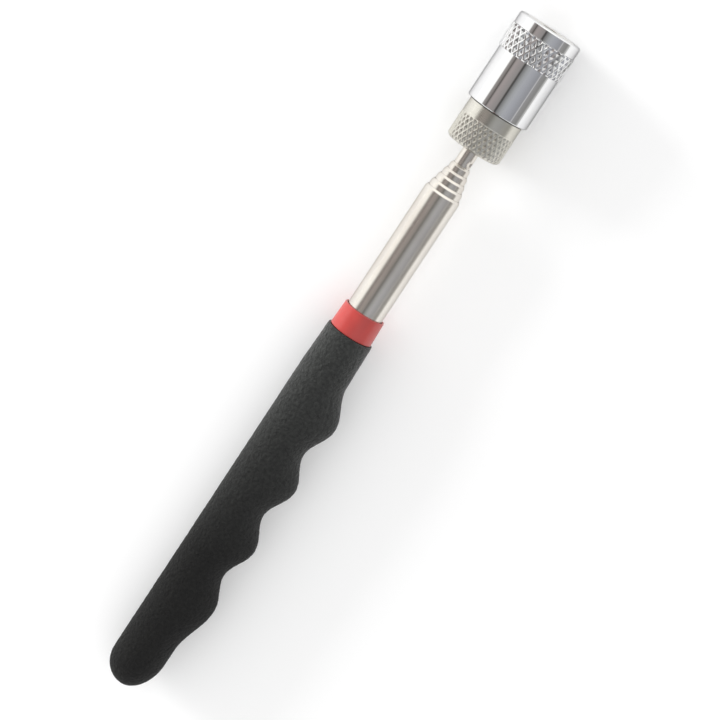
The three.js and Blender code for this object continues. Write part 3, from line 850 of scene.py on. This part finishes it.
def head_shell():
    """The bright shell: plain body, knurled ring and plain rim outside, thread and stepped bore inside."""
    knurl_end = HEAD_KNURL_START + HEAD_KNURL_LENGTH
    step = HEAD_LOZENGE_LENGTH / KNURL_STEPS
    start = HEAD_START - 0.06
    seat = MAGNET_RADIUS + 0.05
    thread_bore = SPIGOT_CREST + THREAD_PLAY
    thread_end = HEAD_START + 6.85
    bore_start = HEAD_START + 14.35
    body = rounded([
        (start, HEAD_POCKET), (start, HEAD_RADIUS - 0.22), (start + 0.22, HEAD_RADIUS),
        (HEAD_KNURL_START - 0.05, HEAD_RADIUS), (HEAD_KNURL_START - 0.02, HEAD_KNURL_RADIUS - 0.36),
    ], 0.06, False)
    knurled = rows(HEAD_KNURL_START, knurl_end, round(HEAD_KNURL_LENGTH / step), HEAD_KNURL_RADIUS)
    rim = rounded([
        knurled[-1], (knurl_end + 0.03, RIM_RADIUS), (HEAD_END - 0.35, RIM_RADIUS),
        (HEAD_END, RIM_RADIUS - 0.35), (HEAD_END, seat), (HEAD_END - 0.5, seat), (HEAD_END - 0.8, FRONT_BORE),
        (bore_start, FRONT_BORE), (bore_start, CELL_CHAMBER), (thread_end, CELL_CHAMBER),
        (thread_end, thread_bore),
    ], 0.08, False)[1:]
    threaded = rows(thread_end - 0.1, SEAL_MIDDLE + 1, 54, thread_bore)
    relief = both(
        knurl(HEAD_KNURL_START, knurl_end, HEAD_KNURL_RADIUS, HEAD_LOZENGES, HEAD_LOZENGE_LENGTH,
              HEAD_KNURL_DEPTH, (0.24, 0.24)),
        thread(SEAL_MIDDLE + 1, thread_end - 0.1, SPIGOT_ROOT + THREAD_PLAY, thread_bore, thread_bore,
               thread_bore - 0.2, thread_bore + 0.1),
    )
    outline = body + knurled + rim + threaded + [(SEAL_MIDDLE + 0.8, HEAD_POCKET)]
    columns = HEAD_LOZENGES * KNURL_STEPS
    lattice = (HEAD_KNURL_START, step)
    piece = turned("shell", outline, columns, relief=relief, lattice=lattice, smooth_to=28)
    finish_piece(piece, "head_shell")


def plain_ring(name, node, inner, reach, columns=96):
    """A ring with rounded edges that fills a CAD ring."""
    start, end, outer = span(node)
    outline = rounded([(start, inner), (start, outer), (end, outer), (end, inner)], reach)
    finish_piece(turned(name, outline, columns), node)


def lamp_part(name, outline, columns, slot, aside=0.0):
    """A part inside the lens."""
    piece = turned(name, rounded(outline, 0.05, False), columns, closed=False, aside=aside)
    finish_piece(piece, "led_lamp", slot, replaces=False)


def lamp():
    """A 5 mm lamp: the lens, and inside it a post, the cup that holds the chip, and its yellow phosphor."""
    start, tip, _ = span("led_lamp")
    low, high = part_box("led_lamp")
    flange = (high.z - low.z) / 2 / MM / LAMP_FLAT
    turns = [math.pi / 28 * step for step in range(14)]
    dome = [(tip - LAMP_RADIUS * (1 - math.sin(turn)), LAMP_RADIUS * math.cos(turn)) for turn in turns]
    base = rounded([
        (start, 0), (start, flange), (start + 1, flange), (start + 1, LAMP_RADIUS), dome[0],
    ], 0.1, False)
    lens = [*base[:-1], *dome, (tip, 0)]
    finish_piece(turned("lamp_lens", lens, 72, closed=False, smooth_to=40), "led_lamp")
    foot = start + 0.4
    cup_top = start + 4.2
    lamp_part("lamp_cup", [
        (foot, 0), (foot, 0.25), (start + 2.6, 0.25), (start + 2.9, 0.75), (cup_top, 0.9), (cup_top, 0.78),
        (cup_top - 0.6, 0.45), (cup_top - 0.6, 0),
    ], 48, "tinned_wire")
    lamp_part("lamp_phosphor", [
        (cup_top - 0.5, 0), (cup_top - 0.5, 0.4), (cup_top - 0.1, 0.7), (cup_top + 0.05, 0),
    ], 48, "gold_contact")
    lamp_part("lamp_post", [
        (foot, 0), (foot, 0.22), (cup_top - 0.2, 0.3), (cup_top - 0.1, 0),
    ], 24, "tinned_wire", aside=1.3)


def legs():
    for node in ("led_leg_positive", "led_leg_negative"):
        start, end, _ = span(node)
        low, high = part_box(node)
        radius = (high.z - low.z) / 2 / MM
        aside = ((low.y + high.y) / 2 - AXIS_Y) / MM
        outline = rounded([(start, 0), (start, radius), (end, radius), (end, 0)], 0.05, False)
        finish_piece(turned(node.replace("led_", ""), outline, 20, closed=False, aside=aside), node)


def board_contact():
    start, end, _ = span("board_contact")
    outline = rounded([(start, 0), (start, 0.55), (start + 0.25, 0.8), (end, 0.8), (end, 0)], 0.1, False)
    finish_piece(turned("contact", outline, 40, closed=False), "board_contact")


def end_plug():
    start, end, flange = span("end_plug")
    body = TUBE_RADIUS - WALL - 0.3
    step = TUBE_START - 0.3
    outline = rounded([
        (start, 0), (start, flange), (step, flange), (step, body), (end, body), (end, 0),
    ], 0.15, False)
    finish_piece(turned("plug", outline, 72, closed=False), "end_plug")


head_shell()
plain_ring("magnet", "ring_magnet", 3.1, 0.22, 128)
plain_ring("pole_washer", "magnet_pole_washer", 3.2, 0.1)
plain_ring("lamp_holder", "led_holder", 3.2, 0.2)
lamp()
legs()
board_contact()
end_plug()
frame["nodes"]["led_board"].data.materials.clear()
frame["nodes"]["led_board"].data.materials.append(MATERIALS["circuit_board"])

# ------------------------------------------------------------------ floor, world and lights


FLOOR_HALF = 9  # metres
FLOOR_DROP = 0.02 * MM  # below the tool's lowest point
KEY_PLACE = (0.3, 3.45, 0.72)  # metres
KEY_SIZE = 1.5
KEY_POWER = 117.0  # watts


def floor():
    """A wide pale sheet that the tool lies on."""
    corners = [(x * FLOOR_HALF, y * FLOOR_HALF, -FLOOR_DROP) for x, y in ((-1, -1), (1, -1), (1, 1), (-1, 1))]
    sheet = make_object("floor", corners, [(0, 1, 2, 3)])
    finish = Finish("floor paper", (0.96, 0.96, 0.96), 0.7)
    finish.set("Specular IOR Level", 0.2)
    sheet.data.materials.append(finish.material)


# Brightness of the studio round the tool by the angle about its axis: 0 is overhead, positive towards the
# finger side. White walls stand left and right of a grey ceiling with dark seams and one bright one.
STUDIO = (
    (-180, (1.14, 1.14, 1.14)),
    (-60, (1.14, 1.14, 1.12)),
    (-56.5, (0.34, 0.32, 0.31)),
    (-48, (0.24, 0.22, 0.21)),
    (-44, (0.09, 0.08, 0.075)),
    (-40, (0.32, 0.29, 0.28)),
    (-36, (0.38, 0.34, 0.33)),
    (-12, (0.29, 0.275, 0.27)),
    (-9, (0.08, 0.075, 0.07)),
    (-5, (0.08, 0.08, 0.08)),
    (-2, (0.21, 0.21, 0.21)),
    (10, (0.37, 0.38, 0.385)),
    (20, (0.42, 0.43, 0.455)),
    (33, (0.385, 0.395, 0.425)),
    (52, (0.31, 0.315, 0.335)),
    (56, (0.33, 0.33, 0.35)),
    (58.5, (0.62, 0.62, 0.62)),
    (61, (0.32, 0.32, 0.32)),
    (70, (0.29, 0.285, 0.28)),
    (79, (0.26, 0.26, 0.25)),
    (84, (0.42, 0.42, 0.41)),
    (90, (0.7, 0.7, 0.68)),
    (180, (1.1, 1.1, 1.08)),
)
BEYOND_COLOUR = (1.2, 1.2, 1.18, 1)  # what lies beyond the magnet's end


def studio():
    """Even white light, which polished surfaces see as bands along the tool."""
    world = bpy.data.worlds.new("studio")
    bpy.context.scene.world = world
    world.use_nodes = True
    tree = world.node_tree
    tree.nodes.clear()
    node = partial(add_node, tree)
    direction = node("ShaderNodeTexCoord").outputs["Generated"]
    parts = node("ShaderNodeSeparateXYZ", [(0, direction)]).outputs
    aside = node("ShaderNodeMath", [(0, parts["Y"]), (1, -1.0)], operation="MULTIPLY").outputs[0]
    angle = node("ShaderNodeMath", [(0, aside), (1, parts["Z"])], operation="ARCTAN2").outputs[0]
    share = node("ShaderNodeMapRange", [("Value", angle), ("From Min", -math.pi), ("From Max", math.pi)])
    ramp = node("ShaderNodeValToRGB", [("Fac", share.outputs[0])])
    stops = ramp.color_ramp.elements
    while len(stops) < len(STUDIO):
        stops.new(0.5)
    for stop, (degrees, colour) in zip(stops, STUDIO):
        stop.position = (degrees + 180) / 360
        stop.color = (*colour, 1)
    beyond = node("ShaderNodeMapRange", [("Value", parts["X"]), ("From Min", 0.42), ("From Max", 0.7)])
    inputs = [(0, beyond.outputs[0]), (6, ramp.outputs[0]), (7, BEYOND_COLOUR)]
    bands = node("ShaderNodeMix", inputs, data_type="RGBA")
    glossy = node("ShaderNodeLightPath").outputs["Is Glossy Ray"]
    inputs = [(0, glossy), (6, (1.0, 1.0, 1.0, 1)), (7, bands.outputs[2])]
    colour = node("ShaderNodeMix", inputs, data_type="RGBA")
    background = node("ShaderNodeBackground", [("Color", colour.outputs[2]), ("Strength", 1.0)])
    node("ShaderNodeOutputWorld", [("Surface", background.outputs[0])])


def soft_light(name, place, size, power):
    """A square light panel aimed at the frame's origin, and hidden from reflections."""
    light = bpy.data.objects.new(name, bpy.data.lights.new(name, "AREA"))
    light.data.size = size
    light.data.energy = power
    light.location = place
    light.visible_glossy = False
    light.rotation_mode = "QUATERNION"
    light.rotation_quaternion = (Vector(place) * -1).to_track_quat("-Z", "Y")
    bpy.context.scene.collection.objects.link(light)


floor()
studio()
soft_light("key_light", KEY_PLACE, KEY_SIZE, KEY_POWER)
bpy.context.scene.view_settings.view_transform = "Standard"
